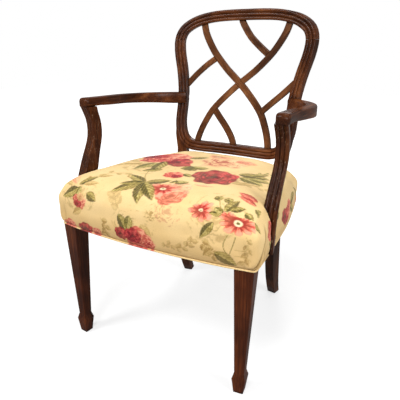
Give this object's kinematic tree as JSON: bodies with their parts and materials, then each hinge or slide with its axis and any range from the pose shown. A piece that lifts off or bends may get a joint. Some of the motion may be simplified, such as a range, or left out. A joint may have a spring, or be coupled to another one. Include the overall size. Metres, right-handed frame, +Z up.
{
  "type": "open back armchair",
  "caption": "Open armchair with a shield-shaped back filled by an interlaced lattice of flat laths, shaped arms on swept supports, and an over-upholstered floral seat.",
  "frame": {"origin": "middle of the bounding box, on the floor", "axes": "+Z up, the sitter faces -Y, +X is the right-hand side seen from the front"},
  "size_m": [0.6392, 0.647, 0.9563],
  "materials": {
    "mahogany": "satin polish",
    "lattice_wood": "satin polish",
    "beech": "unfinished",
    "floral_cloth": "printed floral cotton",
    "welt_cloth": "self piping",
    "jute": "woven jute",
    "wadding": "soft stuffing",
    "black_cloth": "plain black lining",
    "steel": "plain screws"
  },
  "bodies": {
    "root": {"lath_long_rising": "lattice_wood", "lath_long_falling": "lattice_wood", "lath_upper_middle": "lattice_wood", "lath_lower_middle": "lattice_wood", "lath_left_branch": "lattice_wood", "lath_right_branch": "lattice_wood", "crest_rail": "mahogany", "lower_back_rail": "mahogany", "arm_plug_right": "mahogany", "arm_plug_left": "mahogany", "arm_right": "mahogany", "arm_support_right": "mahogany", "arm_left": "mahogany", "arm_support_left": "mahogany", "seat_rail_front": "beech", "seat_rail_rear": "beech", "seat_rail_right": "beech", "front_leg_right": "mahogany", "back_post_right": "mahogany", "corner_block_front_right": "beech", "corner_block_rear_right": "beech", "seat_rail_left": "beech", "front_leg_left": "mahogany", "back_post_left": "mahogany", "corner_block_front_left": "beech", "corner_block_rear_left": "beech", "arm_screw_right": "steel", "arm_screw_left": "steel", "support_screw_lower_right": "steel", "support_screw_upper_right": "steel", "support_screw_lower_left": "steel", "support_screw_upper_left": "steel", "block_screw_front_right_a": "steel", "block_screw_front_right_b": "steel", "block_screw_rear_right_a": "steel", "block_screw_rear_right_b": "steel", "block_screw_front_left_a": "steel", "block_screw_front_left_b": "steel", "block_screw_rear_left_a": "steel", "block_screw_rear_left_b": "steel", "webbing_lengthwise_1": "jute", "webbing_lengthwise_2": "jute", "webbing_lengthwise_3": "jute", "webbing_crosswise_1": "jute", "webbing_crosswise_2": "jute", "webbing_crosswise_3": "jute", "webbing_crosswise_4": "jute", "hessian": "jute", "dust_cover": "black_cloth", "seat_cover": "floral_cloth", "seat_pad": "wadding", "seat_welt_front": "welt_cloth", "seat_welt_rear": "welt_cloth"}
  },
  "joints": []
}
